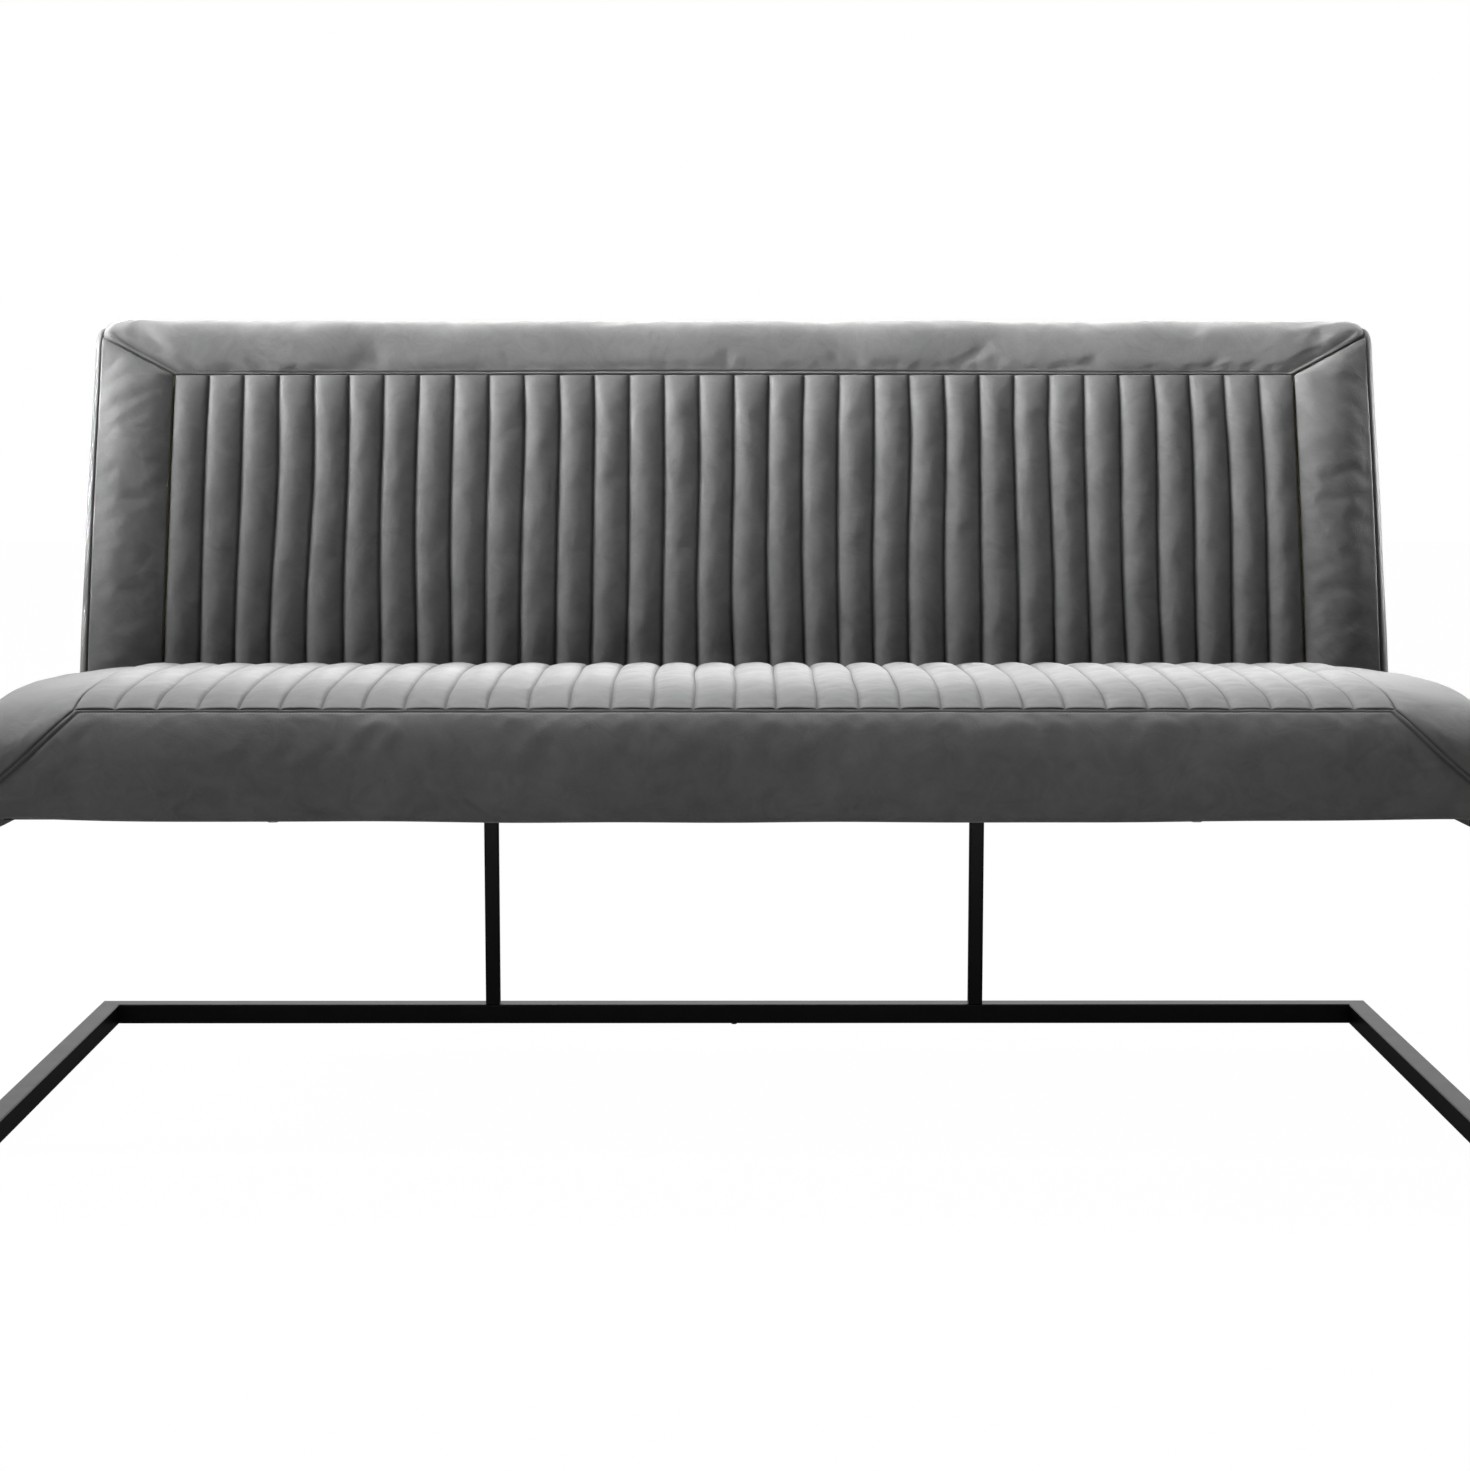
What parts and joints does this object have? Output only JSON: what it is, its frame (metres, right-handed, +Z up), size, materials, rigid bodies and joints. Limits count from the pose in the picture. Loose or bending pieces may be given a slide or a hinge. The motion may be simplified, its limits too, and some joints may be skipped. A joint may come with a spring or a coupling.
{
  "type": "dining bench sofa",
  "caption": "Armless upholstered dining bench with a reclined back, vertical stitched channels framed by plain borders, on a square-tube cantilever base.",
  "frame": {"origin": "on the floor, under the middle of the bounding box", "axes": "+X along the seat, +Y from the front of the seat towards the back, +Z up"},
  "size_m": [1.654, 0.715, 0.902],
  "materials": {
    "powder_coated_steel": "matt black, fine texture",
    "grey_upholstery": "grey mottled suede-like microfibre",
    "foam": "open-cell upholstery foam",
    "softwood": "planed, unfinished",
    "plywood": "sanded, unfinished",
    "dust_cloth": "black non-woven cloth",
    "zinc_steel": "zinc plated",
    "glide_plastic": "moulded black"
  },
  "bodies": {
    "root": {"rear_floor_rail": "powder_coated_steel", "right_floor_rail": "powder_coated_steel", "left_floor_rail": "powder_coated_steel", "right_front_leg": "powder_coated_steel", "left_front_leg": "powder_coated_steel", "right_seat_rail": "powder_coated_steel", "left_seat_rail": "powder_coated_steel", "right_rear_strut": "powder_coated_steel", "left_rear_strut": "powder_coated_steel", "front_cross_rail": "powder_coated_steel", "rear_cross_rail": "powder_coated_steel", "left_back_post": "powder_coated_steel", "right_back_post": "powder_coated_steel", "floor_glides": "glide_plastic", "seat_frame_front_slat": "softwood", "seat_frame_rear_slat": "softwood", "seat_frame_right_slat": "softwood", "seat_frame_left_slat": "softwood", "seat_frame_cross_slats": "softwood", "seat_board": "plywood", "back_board": "plywood", "seat_bolts": "zinc_steel", "insert_nuts": "zinc_steel", "back_screws": "zinc_steel", "dust_cover": "dust_cloth", "seat_foam": "foam", "back_foam": "foam", "back_rear_wadding": "foam", "seat_front_apron": "grey_upholstery", "seat_right_border": "grey_upholstery", "seat_left_border": "grey_upholstery", "seat_rear_band": "grey_upholstery", "seat_channel_panel": "grey_upholstery", "right_rail_cover": "grey_upholstery", "left_rail_cover": "grey_upholstery", "back_channel_panel": "grey_upholstery", "back_top_border": "grey_upholstery", "back_right_border": "grey_upholstery", "back_left_border": "grey_upholstery", "back_right_gusset": "grey_upholstery", "back_left_gusset": "grey_upholstery", "back_rear_panel": "grey_upholstery"}
  },
  "joints": []
}
